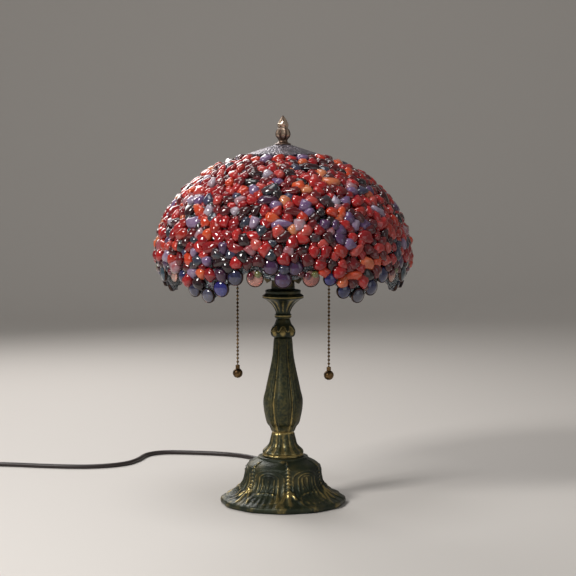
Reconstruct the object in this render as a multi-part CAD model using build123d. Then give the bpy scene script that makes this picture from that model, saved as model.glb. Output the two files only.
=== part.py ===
from build123d import *
import math
import os
import random

# A Tiffany-style table lamp, in millimetres, +Z up, with its origin at the centre of the underside.
# The two lampholders and their pull chains lie along X. The ornament's front faces FRONT_TURN east of -Y.
os.makedirs("parts", exist_ok=True)

# ---- Driving dimensions -------------------------------------------------------------------------
LAMP_HEIGHT = 469.0
FRONT_TURN = 10.0
FIT = 0.05
AIR = 0.2

# foot
FELT_RADIUS = 72.5
FELT_THICK = 1.5
FOOT_TOP = 58.0
FOOT_RADIUS = 76.0
RIM_HEIGHT = 5.0
WALL = 4.0
BOSS_BOTTOM = 39.0
BOSS_RADIUS = 12.0
WEIGHT_RADIUS = 41.0
WEIGHT_THICK = 12.0
WASHER_THICK = 1.5
WASHER_RADIUS = 14.0
NUT_THICK = 8.0
NUT_FLATS = 16.0

# stem
PIPE_RADIUS = 5.0
PIPE_BORE = 3.4
CLEARANCE_HOLE = 5.2
PIPE_BOTTOM = 15.0
COLUMN_TOP = 202.0
KNOP_TOP = 224.0
CUP_TOP = 264.0
RELIEF_RADIUS = 9.0
RELIEF_BOTTOM = 66.0
RELIEF_TOP = 180.0

# light cluster
HUB_RADIUS = 14.0
HUB_WALL = 2.2
HUB_FLOOR = 3.0
HUB_TOP = 294.0
COVER_THICK = 3.0
HUB_NUT_THICK = 5.0
PIPE_TOP = 276.0
ROD_RADIUS = 3.0
ROD_BOTTOM = 286.0
ROD_TOP = 446.0
ROD_NUT_THICK = 4.5
ROD_NUT_FLATS = 10.0
BRANCH_RADIUS = 7.5

# lampholders, one each side, leaning out
SOCKET_TILT = 55.0
SOCKET_FOOT = (24.0, 0.0, 286.0)
NIPPLE_SPAN = (-12.0, 7.0)
SHELL_RADIUS = 16.25
SHELL_WALL = 0.6
SHELL_SPAN = (8.5, 48.0)
LINER_RADIUS = 15.5
CORE_RADIUS = 14.7
CORE_SPAN = (10.0, 32.0)
THREAD_RADIUS = 13.0
THREAD_SPAN = (32.0, 50.0)
BULB_SEAT = 33.5
BULB_NECK = 57.0
BULB_RADIUS = 22.5
BULB_CENTRE = 81.0
GLASS_WALL = 0.9

# switch and pull chain
LEVER_PIVOT = (20.0, 5.0)
LEVER_LENGTH = 8.5
LEVER_THICK = 2.0
PIN_RADIUS = 1.4
PIN_LENGTH = 10.0
CHAIN_X = 56.0
GUIDE_Z = 294.0
GUIDE_MOUTH = 279.0
GUIDE_RADIUS = 3.2
GUIDE_BORE = 1.9
BALL_RADIUS = 1.6
BALL_PITCH = 4.48
LINK_RADIUS = 0.6
LEAD_BALLS = 3
KNOB_CENTRE = 157.0
KNOB_RADIUS = 6.0

# shade
SHADE_CENTRE = 300.0
WEB_RADIUS = 146.0
WEB_HEIGHT = 119.0
WEB_THICK = 3.0
RING_INNER = 37.5
RING_OUTER = 41.0
RING_TOP = 421.5
RING_BOTTOM = 412.5
CAP_TOP = 434.0
CAP_EDGE = 423.0
CAP_RADIUS = 43.0
CAP_FLAT = 9.5
CAP_THICK = 1.2
REPEATS = 5
SKIRT_BOTTOM = 256.0
STONE_THICK = (8.2, 9.6)
ROW_PITCH = 14.2
STONE_GAP = 0.7
STONE_SEED = 12

# cord
CORD_RADIUS = 3.0
CORD_REST = CORD_RADIUS + FIT
EXIT_HEIGHT = 8.0
EXIT_REACH = 77.9
COIL_CENTRE = (-480.0, 118.5)
COIL_OUTER = 40.0
COIL_INNER = 27.0
COIL_HEIGHT = 18.0


# ---- Helpers ------------------------------------------------------------------------------------
def save(name, shape):
    """Write one node, and print what it weighs in at."""
    export_step(shape, f"parts/{name}.step")
    print(f"{name}: {len(shape.solids())} solid(s), {shape.volume:.0f} mm3")


def turned(points):
    """A solid turned about Z from a closed outline of straight lines in (radius, height)."""
    outline = Plane.XZ * Polyline(*points, close=True)
    return revolve(make_face(outline), Axis.Z)


def moulded(curve, rest):
    """A solid turned about Z whose outside is a smooth curve, closed by straight lines."""
    outside = Spline(*curve)
    inside = Polyline(curve[-1], *rest, curve[0])
    return revolve(make_face(Plane.XZ * (outside + inside)), Axis.Z)


def tube(outer, inner, bottom, top):
    """A plain upright tube."""
    return turned([(inner, bottom), (outer, bottom), (outer, top), (inner, top)])


def rod(radius, bottom, top):
    """A plain upright rod."""
    return Pos(0, 0, bottom) * Cylinder(radius, top - bottom, align=(Align.CENTER, Align.CENTER, Align.MIN))


def hex_nut(flats, bore, bottom, thick):
    """A hexagon nut lying flat on its bottom height."""
    blank = extrude(RegularPolygon(flats / 2, 6, major_radius=False), thick)
    return Pos(0, 0, bottom) * (blank - rod(bore, -1, thick + 1))


def heading(angle):
    """The level unit vector that faces an angle counted anticlockwise from the ornament's front."""
    turn = math.radians(angle + FRONT_TURN)
    return Vector(math.sin(turn), -math.cos(turn), 0)


def corner_radii(points):
    """One radius for each corner of a route: 0.45 of the shorter run over the tangent of half the turn."""
    radii = []
    for before, here, after in zip(points, points[1:], points[2:]):
        first = Vector(*here) - Vector(*before)
        second = Vector(*after) - Vector(*here)
        half_turn = math.radians(first.get_angle(second) / 2)
        radii.append(0.45 * min(first.length, second.length) / math.tan(half_turn))
    return radii


def hose(name, points, radius):
    """A round tube along straight runs joined by tangent arcs."""
    radii = corner_radii(points)
    path = FilletPolyline(*points, radius=radii)
    print(f"{name} corner radii, mm: {[round(value) for value in radii]}")
    profile = Plane(origin=path @ 0, z_dir=path % 0) * Circle(radius)
    solid = sweep(profile, path=path)
    expected = math.pi * radius**2 * path.length
    ratio = solid.volume / expected
    print(f"{name} length {path.length:.0f} mm, volume over section times length {ratio:.4f}")
    return solid


# ---- Foot ---------------------------------------------------------------------------------------
def base_casting():
    """A hollow bell with a wavy skirt line, a central boss inside and a lug at the back for the cord."""
    curve = [(28.6, FOOT_TOP), (31.5, 55.0), (41.0, 50.0), (45.5, 44.4), (47.5, 30.0)]
    curve += [(53.5, 20.0), (64.5, 11.5), (75.0, 7.0), (FOOT_RADIUS, RIM_HEIGHT)]
    hollow = [(FOOT_RADIUS, FELT_THICK), (71.0, FELT_THICK), (69.5, 4.0), (61.0, 8.0), (50.0, 16.5)]
    hollow += [(43.6, 28.0), (42.4, 40.0), (38.5, 46.5), (28.0, FOOT_TOP - WALL - 2)]
    hollow += [(BOSS_RADIUS, FOOT_TOP - WALL - 2), (BOSS_RADIUS, BOSS_BOTTOM)]
    hollow += [(CLEARANCE_HOLE, BOSS_BOTTOM), (CLEARANCE_HOLE, FOOT_TOP)]
    bell = moulded(curve, hollow)
    outward = Plane(origin=(0, 0, EXIT_HEIGHT), z_dir=heading(180))
    lug = outward * rod(8.5, 57.0, FOOT_RADIUS)
    under_lug = rod(100.0, FELT_THICK - 20, FELT_THICK)
    hole = outward * rod(5.0 + FIT, 50.0, 90.0)
    return bell + (lug - under_lug) - hole


def cord_bushing():
    """A flanged insulating sleeve that lines the cord's hole in the lug."""
    outward = Plane(origin=(0, 0, EXIT_HEIGHT), z_dir=heading(180))
    flange = FOOT_RADIUS
    outline = [(CORD_RADIUS + FIT, 56.0), (5.0, 56.0), (5.0, flange), (6.5, flange)]
    outline += [(6.5, EXIT_REACH), (CORD_RADIUS + FIT, EXIT_REACH)]
    return outward * turned(outline)


def lead_wire():
    """The cord's inner end: in through the bushing, up into the pipe and on to the cluster."""
    bend = 7.0
    back = heading(180)
    corner = Vector(0, 0, EXIT_HEIGHT)
    start = back * EXIT_REACH + corner
    path = FilletPolyline(start, corner, Vector(0, 0, PIPE_TOP + 3), radius=bend)
    return sweep(Plane(origin=path @ 0, z_dir=path % 0) * Circle(CORD_RADIUS - 0.1), path=path)


weight_bottom = BOSS_BOTTOM - WEIGHT_THICK
washer_bottom = weight_bottom - WASHER_THICK
lock_bottom = washer_bottom - WASHER_THICK
nut_bottom = lock_bottom - NUT_THICK

save("base_felt", rod(FELT_RADIUS, 0, FELT_THICK))
save("base_casting", base_casting())
save("base_weight", tube(WEIGHT_RADIUS, CLEARANCE_HOLE, weight_bottom, BOSS_BOTTOM))
save("base_washer", tube(WASHER_RADIUS, CLEARANCE_HOLE, washer_bottom, weight_bottom))
save("base_lock_washer", tube(8.5, CLEARANCE_HOLE, lock_bottom, washer_bottom))
save("base_nut", hex_nut(NUT_FLATS, PIPE_RADIUS + FIT, nut_bottom, NUT_THICK))
save("cord_bushing", cord_bushing())
save("lead_wire", lead_wire())


# ---- Stem ---------------------------------------------------------------------------------------
def column_casting():
    """The baluster: a flared foot, a waist, the belly and a long taper, relieved inside."""
    curve = [(25.5, 60.0), (24.5, 63.6), (17.7, 70.5), (15.4, 78.0), (14.2, 86.0), (16.0, 93.6)]
    curve += [(19.7, 101.0), (23.2, 123.0), (19.8, 140.0), (12.0, 178.0), (10.5, COLUMN_TOP)]
    bore = [(CLEARANCE_HOLE, COLUMN_TOP), (CLEARANCE_HOLE, RELIEF_TOP), (RELIEF_RADIUS, RELIEF_TOP)]
    bore += [(RELIEF_RADIUS, RELIEF_BOTTOM), (CLEARANCE_HOLE, RELIEF_BOTTOM), (CLEARANCE_HOLE, FOOT_TOP)]
    bore += [(25.5, FOOT_TOP)]
    return moulded(curve, bore)


def column_knop():
    """The leafy knop threaded over the pipe between column and cup."""
    curve = [(10.5, COLUMN_TOP), (14.6, 204.5), (16.0, 209.5), (14.2, 214.0), (10.2, 218.5), (8.0, KNOP_TOP)]
    return moulded(curve, [(CLEARANCE_HOLE, KNOP_TOP), (CLEARANCE_HOLE, COLUMN_TOP)])


def column_cup():
    """The cup: a small ring, a funnel, a sharp flange and a stepped block that carries the cluster."""
    outline = [(CLEARANCE_HOLE, KNOP_TOP), (8.0, KNOP_TOP), (10.2, 226.5), (10.2, 229.5), (8.9, 231.5)]
    outline += [(10.5, 237.0), (14.8, 243.0), (20.5, 247.5), (25.0, 250.0), (25.0, 252.3), (22.6, 254.3)]
    outline += [(21.2, 255.5), (21.2, 259.0), (16.0, 260.2), (14.3, 261.0), (14.3, CUP_TOP)]
    outline += [(CLEARANCE_HOLE, CUP_TOP)]
    return turned(outline)


save("center_pipe", tube(PIPE_RADIUS, PIPE_BORE, PIPE_BOTTOM, PIPE_TOP))
save("column_casting", column_casting())
save("column_knop", column_knop())
save("column_cup", column_cup())


# ---- Light cluster ------------------------------------------------------------------------------
tilt = math.radians(SOCKET_TILT)
socket_axis = Vector(math.cos(tilt), 0, math.sin(tilt))
socket_side = Vector(math.sin(tilt), 0, -math.cos(tilt))
socket_plane = Plane(origin=SOCKET_FOOT, x_dir=socket_side, z_dir=socket_axis)
other_side = Rot(0, 0, 180)


def cluster_body():
    """A hollow hub with two threaded branches that lean outwards."""
    branch = socket_plane * rod(BRANCH_RADIUS, -18, -FIT)
    bore = socket_plane * rod(PIPE_RADIUS + FIT, -22, 1)
    floor = rod(60.0, CUP_TOP - 20, CUP_TOP)
    hub = rod(HUB_RADIUS, CUP_TOP, HUB_TOP) + branch + other_side * branch - floor
    cavity = rod(HUB_RADIUS - HUB_WALL, CUP_TOP + HUB_FLOOR, HUB_TOP + 1)
    pipe_hole = rod(PIPE_RADIUS + FIT, CUP_TOP - 1, CUP_TOP + HUB_FLOOR + 1)
    return hub - cavity - pipe_hole - bore - other_side * bore


cover_top = HUB_TOP + COVER_THICK
save("cluster_body", cluster_body())
save("cluster_nut", hex_nut(NUT_FLATS, PIPE_RADIUS + FIT, CUP_TOP + HUB_FLOOR, HUB_NUT_THICK))
save("cluster_cover", tube(HUB_RADIUS, ROD_RADIUS + FIT, HUB_TOP, cover_top))
save("upper_rod", rod(ROD_RADIUS, ROD_BOTTOM, ROD_TOP))
lower_rod_nut = hex_nut(ROD_NUT_FLATS, ROD_RADIUS + FIT, HUB_TOP - ROD_NUT_THICK, ROD_NUT_THICK)
upper_rod_nut = hex_nut(ROD_NUT_FLATS, ROD_RADIUS + FIT, cover_top, ROD_NUT_THICK)
save("rod_nuts", Compound([lower_rod_nut, upper_rod_nut]))

seat_top = CAP_TOP - CAP_THICK
seat_washer_thick = 3.0
seat_nut_thick = 5.5
save("seat_washer", tube(9.0, ROD_RADIUS + FIT, seat_top - seat_washer_thick, seat_top))
seat_nut_bottom = seat_top - seat_washer_thick - seat_nut_thick
save("seat_nut", hex_nut(12.0, ROD_RADIUS + FIT, seat_nut_bottom, seat_nut_thick))


# ---- Lampholders, bulbs, switches and chains ----------------------------------------------------
def guide_bore(radius, start, end):
    """The level passage through the lampholder's wall that the chain guide's stub goes through."""
    lying = (Align.CENTER, Align.CENTER, Align.MIN)
    passage = Cylinder(radius, end - start, rotation=(0, 90, 0), align=lying)
    return Pos(start, 0, GUIDE_Z) * passage


def socket_cap():
    """The cap that screws onto the nipple."""
    outline = [(PIPE_RADIUS + FIT, 0), (9.0, 0), (17.3, 7.0), (17.3, 13.0), (16.3, 13.0), (16.3, 7.5)]
    outline += [(8.6, 1.0), (PIPE_RADIUS + FIT, 1.0)]
    return socket_plane * turned(outline)


def socket_core():
    """The insulating block with a pocket on its outer side for the switch lever."""
    s, v = LEVER_PIVOT
    pocket = Pos(9.5, 0, 23.0) * Box(13.0, 7.0, 13.0)
    bearing = Pos(v, 0, s) * Cylinder(PIN_RADIUS + FIT, PIN_LENGTH + 2 * FIT, rotation=(90, 0, 0))
    return socket_plane * (rod(CORE_RADIUS, *CORE_SPAN) - pocket - bearing)


def screw_shell():
    """The threaded brass cup, with its centre contact, that the bulb screws into."""
    outer = THREAD_RADIUS + FIT + 0.6
    outline = [(0, THREAD_SPAN[0]), (outer, THREAD_SPAN[0]), (outer, THREAD_SPAN[1])]
    outline += [(THREAD_RADIUS + FIT, THREAD_SPAN[1]), (THREAD_RADIUS + FIT, THREAD_SPAN[0] + 0.8)]
    outline += [(0, THREAD_SPAN[0] + 0.8)]
    return socket_plane * turned(outline)


def bulb_base():
    """The bulb's screw base with the contact button at its foot."""
    outline = [(0, BULB_SEAT - 0.6), (4.0, BULB_SEAT - 0.6), (6.5, BULB_SEAT + 2.5),
               (THREAD_RADIUS, BULB_SEAT + 5)]
    outline += [(THREAD_RADIUS, BULB_NECK), (0, BULB_NECK)]
    return socket_plane * turned(outline)


def bulb_glass():
    """A small globe with a short neck, blown thin and open where the base closes it."""
    def blown(radius, neck, foot):
        shoulder = BULB_CENTRE - math.sqrt(radius**2 - neck**2)
        lowest = Polyline((neck, shoulder), (neck, foot), (0, foot), (0, BULB_CENTRE + radius))
        globe = ThreePointArc((0, BULB_CENTRE + radius), (radius, BULB_CENTRE), (neck, shoulder))
        return revolve(make_face(Plane.XZ * (lowest + globe)), Axis.Z)

    neck = THREAD_RADIUS - 0.6
    hollow = blown(BULB_RADIUS - GLASS_WALL, neck - GLASS_WALL, BULB_NECK - 1)
    return socket_plane * (blown(BULB_RADIUS, neck, BULB_NECK) - hollow)


def switch_lever():
    """The ratchet lever that the chain pulls outwards, with its pivot pin across it."""
    s, v = LEVER_PIVOT
    arm = Pos(v, 0, s + LEVER_LENGTH / 2) * Box(LEVER_THICK, 3.0, LEVER_LENGTH)
    pin = Pos(v, 0, s) * Cylinder(PIN_RADIUS, PIN_LENGTH, rotation=(90, 0, 0))
    return socket_plane * (arm + pin)


def chain_guide():
    """A small elbow: a level stub out of the lampholder, then a tube down to a flared mouth."""
    flare = [(GUIDE_RADIUS, GUIDE_MOUTH + 5), (4.6, GUIDE_MOUTH), (0, GUIDE_MOUTH), (0, GUIDE_MOUTH + 5)]
    elbow = Pos(0, 0, GUIDE_Z) * Sphere(GUIDE_RADIUS)
    drop = rod(GUIDE_RADIUS, GUIDE_MOUTH + 4, GUIDE_Z) + turned(flare) + elbow
    stub = guide_bore(GUIDE_RADIUS - 0.4, 46.5, CHAIN_X)
    passage = Pos(CHAIN_X, 0, 0) * rod(GUIDE_BORE + FIT, GUIDE_MOUTH - 1, GUIDE_Z)
    mouth = Pos(CHAIN_X, 0, 0) * turned([(0, GUIDE_MOUTH), (3.8, GUIDE_MOUTH), (0, GUIDE_MOUTH + 7)])
    return Pos(CHAIN_X, 0, 0) * drop + stub - passage - mouth - guide_bore(GUIDE_BORE, 45.0, CHAIN_X)


def beads(top, count):
    """A run of ball chain that starts at a top ball and hangs down."""
    run = rod(LINK_RADIUS, top - BALL_PITCH * (count - 1), top)
    for number in range(count):
        run += Pos(0, 0, top - BALL_PITCH * number) * Sphere(BALL_RADIUS)
    return Pos(CHAIN_X, 0, 0) * run


lead_top = GUIDE_Z - BALL_RADIUS - 0.6
swing_top = lead_top - LEAD_BALLS * BALL_PITCH
swing_balls = int((swing_top - KNOB_CENTRE - KNOB_RADIUS) / BALL_PITCH) + 1
chain_end = swing_top - BALL_PITCH * (swing_balls - 1)
print(f"chain hinge height {swing_top + BALL_PITCH / 2:.2f}, last ball {chain_end:.2f}")


def chain_knob():
    """A turned ball knob whose neck takes the last ball of the chain."""
    ball = Pos(0, 0, KNOB_CENTRE) * Sphere(KNOB_RADIUS)
    neck = rod(2.6, KNOB_CENTRE + KNOB_RADIUS - 1.0, chain_end + 0.5)
    bead_room = Pos(0, 0, chain_end) * Sphere(BALL_RADIUS + FIT)
    throat = rod(LINK_RADIUS + FIT, chain_end, chain_end + 4)
    return Pos(CHAIN_X, 0, 0) * (ball + neck - bead_room - throat)


liner = tube(LINER_RADIUS, LINER_RADIUS - 0.6, SHELL_SPAN[0] + 1, SHELL_SPAN[1] - 2)
shell = tube(SHELL_RADIUS, SHELL_RADIUS - SHELL_WALL, *SHELL_SPAN)
wall_hole = guide_bore(GUIDE_RADIUS - 0.4 + FIT, 38.0, 60.0)
side_pieces = {
    "arm_nipple": socket_plane * tube(PIPE_RADIUS, PIPE_BORE, *NIPPLE_SPAN),
    "socket_cap": socket_cap(),
    "socket_shell": socket_plane * shell - wall_hole,
    "socket_liner": socket_plane * liner - wall_hole,
    "socket_core": socket_core(),
    "screw_shell": screw_shell(),
    "switch_lever": switch_lever(),
    "chain_guide": chain_guide(),
    "pull_lead": beads(lead_top, LEAD_BALLS),
    "pull_chain": beads(swing_top, swing_balls),
    "chain_knob": chain_knob(),
    "bulb_base": bulb_base(),
    "bulb_glass": bulb_glass(),
}
for piece, solid in side_pieces.items():
    save(f"{piece}_right", solid)
    save(f"{piece}_left", other_side * solid)


# ---- Shade --------------------------------------------------------------------------------------
def web_height(radius):
    """Height of the web's outer face: a quarter ellipse from the waist up to the top ring."""
    return SHADE_CENTRE + WEB_HEIGHT * math.sqrt(1 - (radius / WEB_RADIUS) ** 2)


def skirt_radius(height):
    """Radius of the skirt's outer face below the waist, drawn in by a gentle parabola."""
    return WEB_RADIUS - 0.0028 * (SHADE_CENTRE - height) ** 2


def solder_web():
    """The solder and chip web that carries the stones: a thin dome and a scalloped skirt."""
    def outline(inset):
        above = [math.radians(angle) for angle in range(0, 80, 8)]
        wide = WEB_RADIUS - inset
        high = WEB_HEIGHT - inset
        top = math.acos(RING_OUTER / wide)
        dome = [(wide * math.cos(a), SHADE_CENTRE + high * math.sin(a)) for a in above if a < top - 0.05]
        dome.append((RING_OUTER, SHADE_CENTRE + high * math.sin(top)))
        skirt = [(skirt_radius(z) - inset, z) for z in (SKIRT_BOTTOM, SKIRT_BOTTOM + 15, SKIRT_BOTTOM + 30)]
        return skirt + dome

    outer = outline(0)
    inner = outline(WEB_THICK)
    edges = Spline(*outer) + Line(outer[-1], inner[-1]) + Spline(*reversed(inner)) + Line(inner[0], outer[0])
    dome = revolve(make_face(Plane.XZ * edges), Axis.Z)
    # One scallop falls from a notch to the long point on one side and to the short point on the other.
    low = SKIRT_BOTTOM - 10
    scallop = [(-39.0, low), (-39.0, 258.0), (4.0, 290.0), (38.0, 281.0), (52.0, 281.0), (52.0, low)]
    for repeat in range(REPEATS):
        for hand in (-1, 1):
            facing = 36 + 72 * repeat - 18 * hand
            face_plane = Plane(origin=(0, 0, 0), x_dir=heading(facing + 90), z_dir=heading(facing))
            notch = Polyline(*[(x * -hand, z) for x, z in scallop], close=True)
            dome -= extrude(face_plane * make_face(notch), 200)
    return dome


def stone_template(length, width, thick):
    """A tumbled stone, kept plain: a long hexagon with its outer rim chamfered, standing on its flat."""
    turns = [math.radians(60 * step) for step in range(6)]
    corners = [Vector(length / 2 * math.cos(turn), width / 2 * math.sin(turn)) for turn in turns]
    block = extrude(make_face(Polyline(*corners, close=True)), thick)
    return chamfer(block.edges().group_by(Axis.Z)[-1], 0.22 * width)


def web_frame(angle, height):
    """The plane that touches the web at an angle from the front and a height, facing outwards, X level."""
    if height > SHADE_CENTRE:
        rise = (height - SHADE_CENTRE) / WEB_HEIGHT
        radius = WEB_RADIUS * math.sqrt(1 - rise**2)
        lean = rise / WEB_HEIGHT
        spread = radius / WEB_RADIUS**2
    else:
        radius = skirt_radius(height)
        lean = -0.0056 * (SHADE_CENTRE - height)
        spread = 1.0
    outward = heading(angle)
    normal = outward * spread + Vector(0, 0, lean)
    return Plane(origin=outward * radius + Vector(0, 0, height), x_dir=heading(angle + 90), z_dir=normal)


# Border glass: each entry is an angle from its cluster's middle, a height and a radius.
LONG_POINT = [(0, 263.0, 8.2), (7.4, 271.5, 9.2), (-7.9, 269.0, 8.4), (14.6, 285.0, 9.2), (-15.0, 283.0, 7.5)]
SHORT_POINT = [(0, 283.0, 9.3), (-5.3, 297.5, 9.0), (5.3, 296.5, 9.0)]
DISC_RADIUS = 9.5
DISC_PLACE = (12.4, 284.0)
DISC_THICK = 3.0
GEM_THICK = 6.4


def border_places():
    """Every cabochon of the border as (angle, height, radius)."""
    places = []
    for repeat in range(REPEATS):
        turn = 72.0 * repeat
        places += [(turn + angle, height, radius) for angle, height, radius in SHORT_POINT]
        places += [(turn + 36 + angle, height, radius) for angle, height, radius in LONG_POINT]
    return places


def disc_places():
    """The thin translucent discs that fill the notches, one each side of a short point."""
    side, height = DISC_PLACE
    places = [72.0 * repeat + side * hand for repeat in range(REPEATS) for hand in (-1, 1)]
    return [(angle, height, DISC_RADIUS) for angle in places]


def cabochon(radius, thick):
    """A round cabochon: a flat back, a short wall and a domed face in two facets."""
    return turned([(0, 0), (radius, 0), (radius, 0.4 * thick), (0.72 * radius, 0.86 * thick), (0, thick)])


def standing(solid, angle, height):
    """A solid stood on the web at an angle and height, a hair proud of it."""
    return web_frame(angle, height).offset(AIR).location * solid


def row_heights():
    """Heights down the web at even steps of one row along its profile."""
    heights = []
    walked = ROW_PITCH * 0.5 + 2
    height = web_height(RING_OUTER)
    step = 0.1
    while height > SKIRT_BOTTOM + 12:
        here = web_frame(0, height)
        slope = abs(here.x_dir.cross(here.z_dir).Z)
        height -= step * max(slope, 0.05)
        walked -= step
        if walked <= 0:
            heights.append((height, slope))
            walked = ROW_PITCH
    return heights


def stone_places():
    """Each stone as (angle, height, turn in its plane, length, width), packed row by row without touching."""
    chance = random.Random(STONE_SEED)
    taken = border_places() + disc_places()
    places = []
    for row, (height, slope) in enumerate(row_heights()):
        radius = (web_frame(0, height).origin - Vector(0, 0, height)).length
        around = 2 * math.pi * radius
        line = []
        cursor = 0.0
        while True:
            length = chance.choice((13.5, 16.5, 19.5, 22.0))
            width = chance.choice((10.2, 11.6, 13.0))
            lean = chance.choice((6, 14, 24, 40, 90)) * chance.choice((-1, 1))
            if width > 12 and abs(lean) > 20:
                width = 10.2
            if abs(lean) > 20:
                length = 13.5
            sine, cosine = math.sin(math.radians(lean)), math.cos(math.radians(lean))
            half = math.hypot(length / 2 * cosine, width / 2 * sine)
            if cursor + 2 * half + STONE_GAP > around:
                break
            line.append((cursor + half, lean, length, width))
            cursor += 2 * half + STONE_GAP
        slack = (around - cursor) / len(line)
        start = chance.uniform(0, 360)
        for number, (middle, lean, length, width) in enumerate(line):
            angle = start + (middle + slack * number) / around * 360
            wobble = 1.7 * math.sin(math.radians(3 * angle) + 0.35 * row)
            here = height + wobble * max(slope, 0.12)
            if clear_of(taken, angle, here, radius, max(length, width) / 2) and above_edge(angle, here):
                places.append((angle, here, lean, length, width))
    return places


def clear_of(taken, angle, height, radius, reach):
    """Whether a stone of this reach misses every piece of border glass."""
    for other_angle, other_height, other_radius in taken:
        across = math.radians((angle - other_angle + 180) % 360 - 180) * radius
        if math.hypot(across, height - other_height) < reach * 0.86 + other_radius + STONE_GAP:
            return False
    return True


def above_edge(angle, height):
    """Whether a stone here is backed by the skirt: the edge rises from each long point to the notches."""
    from_point = abs((angle - 36 + 36) % 72 - 36)
    return height > 268.0 + 1.35 * from_point


def stones():
    """The stones in four groups by colour, with the quiet colours thicker near the border."""
    chance = random.Random(STONE_SEED + 1)
    shapes = {}
    groups = {"stones_crimson": [], "stones_orange": [], "stones_violet": [], "stones_dark": []}
    for angle, height, lean, length, width in stone_places():
        key = (length, width)
        if key not in shapes:
            shapes[key] = [stone_template(length, width, thick) for thick in STONE_THICK]
        solid = Rot(0, 0, lean) * chance.choice(shapes[key])
        share = chance.random()
        low = height < SHADE_CENTRE + 12
        names = list(groups)
        bounds = (0.46, 0.66, 0.84, 1.0) if not low else (0.32, 0.56, 0.78, 1.0)
        name = next(names[place] for place, bound in enumerate(bounds) if share <= bound)
        groups[name].append(standing(solid, angle, height))
    return groups


def vent_cap():
    """The pierced cap soldered to the top ring: a flat, a cone and a short lip."""
    drop = CAP_TOP - CAP_EDGE
    under_lip = RING_TOP + 1.0
    outline = [(ROD_RADIUS + 0.4, CAP_TOP), (CAP_FLAT, CAP_TOP), (CAP_RADIUS, CAP_EDGE),
               (CAP_RADIUS, RING_TOP)]
    outline += [(RING_OUTER - 1.5, RING_TOP), (RING_OUTER - 1.5, under_lip)]
    slope = drop / (CAP_RADIUS - CAP_FLAT)
    outline += [(CAP_FLAT, under_lip + slope * (RING_OUTER - 1.5 - CAP_FLAT))]
    outline += [(CAP_FLAT, CAP_TOP - CAP_THICK), (ROD_RADIUS + 0.4, CAP_TOP - CAP_THICK)]
    cap = turned(outline)
    for count, radius, size in ((12, 14.5, 1.5), (18, 20.0, 1.5)):
        for number in range(count):
            around = math.radians(360 / count * number)
            place = Pos(radius * math.cos(around), radius * math.sin(around), CAP_EDGE)
            cap -= place * Cylinder(size, 4 * drop)
    return cap


def finial():
    """The bud-shaped finial: flange, neck, lobed bulb, upper bud and tip, with a blind bore for the rod."""
    foot = CAP_TOP + FIT
    curve = [(9.4, foot + 1.2), (6.0, 437.0), (5.5, 439.5), (9.2, 444.0), (9.8, 447.6), (7.6, 452.0)]
    curve += [(6.2, 454.0), (7.5, 458.7), (4.6, 464.0), (1.6, 467.6), (0, LAMP_HEIGHT)]
    bore = ROD_RADIUS + FIT
    rest = [(0, ROD_TOP + 1), (bore, ROD_TOP + 1), (bore, foot), (9.4, foot)]
    return moulded(curve, rest)


save("solder_web", solder_web())
save("top_ring", tube(RING_OUTER, RING_INNER, RING_BOTTOM, RING_TOP))
save("vent_cap", vent_cap())
save("finial", finial())
for name, solids in stones().items():
    save(name, Compound(solids))
gems = [standing(cabochon(radius, GEM_THICK), angle, height) for angle, height, radius in border_places()]
save("border_gems", Compound(gems))
discs = [standing(cabochon(radius, DISC_THICK), angle, height) for angle, height, radius in disc_places()]
save("border_discs", Compound(discs))


# ---- Cord, coil and plug ------------------------------------------------------------------------
# The cord leaves the foot at the back, bends round to the left and ends in a coil with its plug.
exit_point = heading(180) * EXIT_REACH + Vector(0, 0, EXIT_HEIGHT)
first_bend = exit_point + heading(180) * 28.0
CORD_ROUTE = [
    (exit_point.X, exit_point.Y, exit_point.Z),
    (first_bend.X, first_bend.Y, first_bend.Z),
    (-27.0, 138.0, CORD_REST),
    (-41.0, 184.0, CORD_REST),
    (-60.0, 232.0, CORD_REST),
    (-86.0, 271.0, CORD_REST),
    (-130.0, 294.0, CORD_REST),
    (-194.0, 296.0, CORD_REST),
    (-226.0, 291.0, CORD_REST),
    (-243.0, 268.0, CORD_REST),
    (-242.0, 230.0, CORD_REST),
    (-252.0, 192.0, CORD_REST),
    (-291.0, 166.0, CORD_REST),
    (-350.0, 162.0, CORD_REST),
    (-411.0, 166.0, CORD_REST),
    (-470.0, 153.5, CORD_REST),
]
TAIL_ROUTE = [
    (-513.5, 112.0, CORD_REST),
    (-513.0, 86.0, 3.5),
    (-511.5, 64.0, 7.5),
    (-511.5, 44.0, 7.5),
]
PLUG_SIZE = (22.0, 24.0, 15.0)
RELIEF_LENGTH = 14.0
BLADE_SIZE = (1.5, 17.0, 6.35)
BLADE_SPACING = 12.7


def coil():
    """The outer shape of the coiled cord: a low ring."""
    return Pos(*COIL_CENTRE, FIT) * tube(COIL_OUTER, COIL_INNER, 0, COIL_HEIGHT)


def plug_body():
    """A moulded two-blade plug that lies on its side, with its tapered strain relief."""
    x, y, z = TAIL_ROUTE[-1]
    width, length, height = PLUG_SIZE
    body = Pos(x, y - RELIEF_LENGTH - length / 2, z) * Box(width, length, height - 2 * FIT)
    body = fillet(body.edges().filter_by(Axis.Y), 3.0)
    relief = Plane(origin=(x, y, z), z_dir=(0, -1, 0)) * turned(
        [(0, 0), (CORD_RADIUS + 1.0, 0), (6.0, RELIEF_LENGTH + 1), (0, RELIEF_LENGTH + 1)])
    return body + relief


def plug_blades():
    """The two flat blades, standing out of the plug's face."""
    x, y, z = TAIL_ROUTE[-1]
    face = y - RELIEF_LENGTH - PLUG_SIZE[1]
    thick, length, high = BLADE_SIZE
    blade = Box(thick, length, high)
    return [Pos(x + side * BLADE_SPACING / 2, face - length / 2, z) * blade for side in (-1, 1)]


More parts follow.
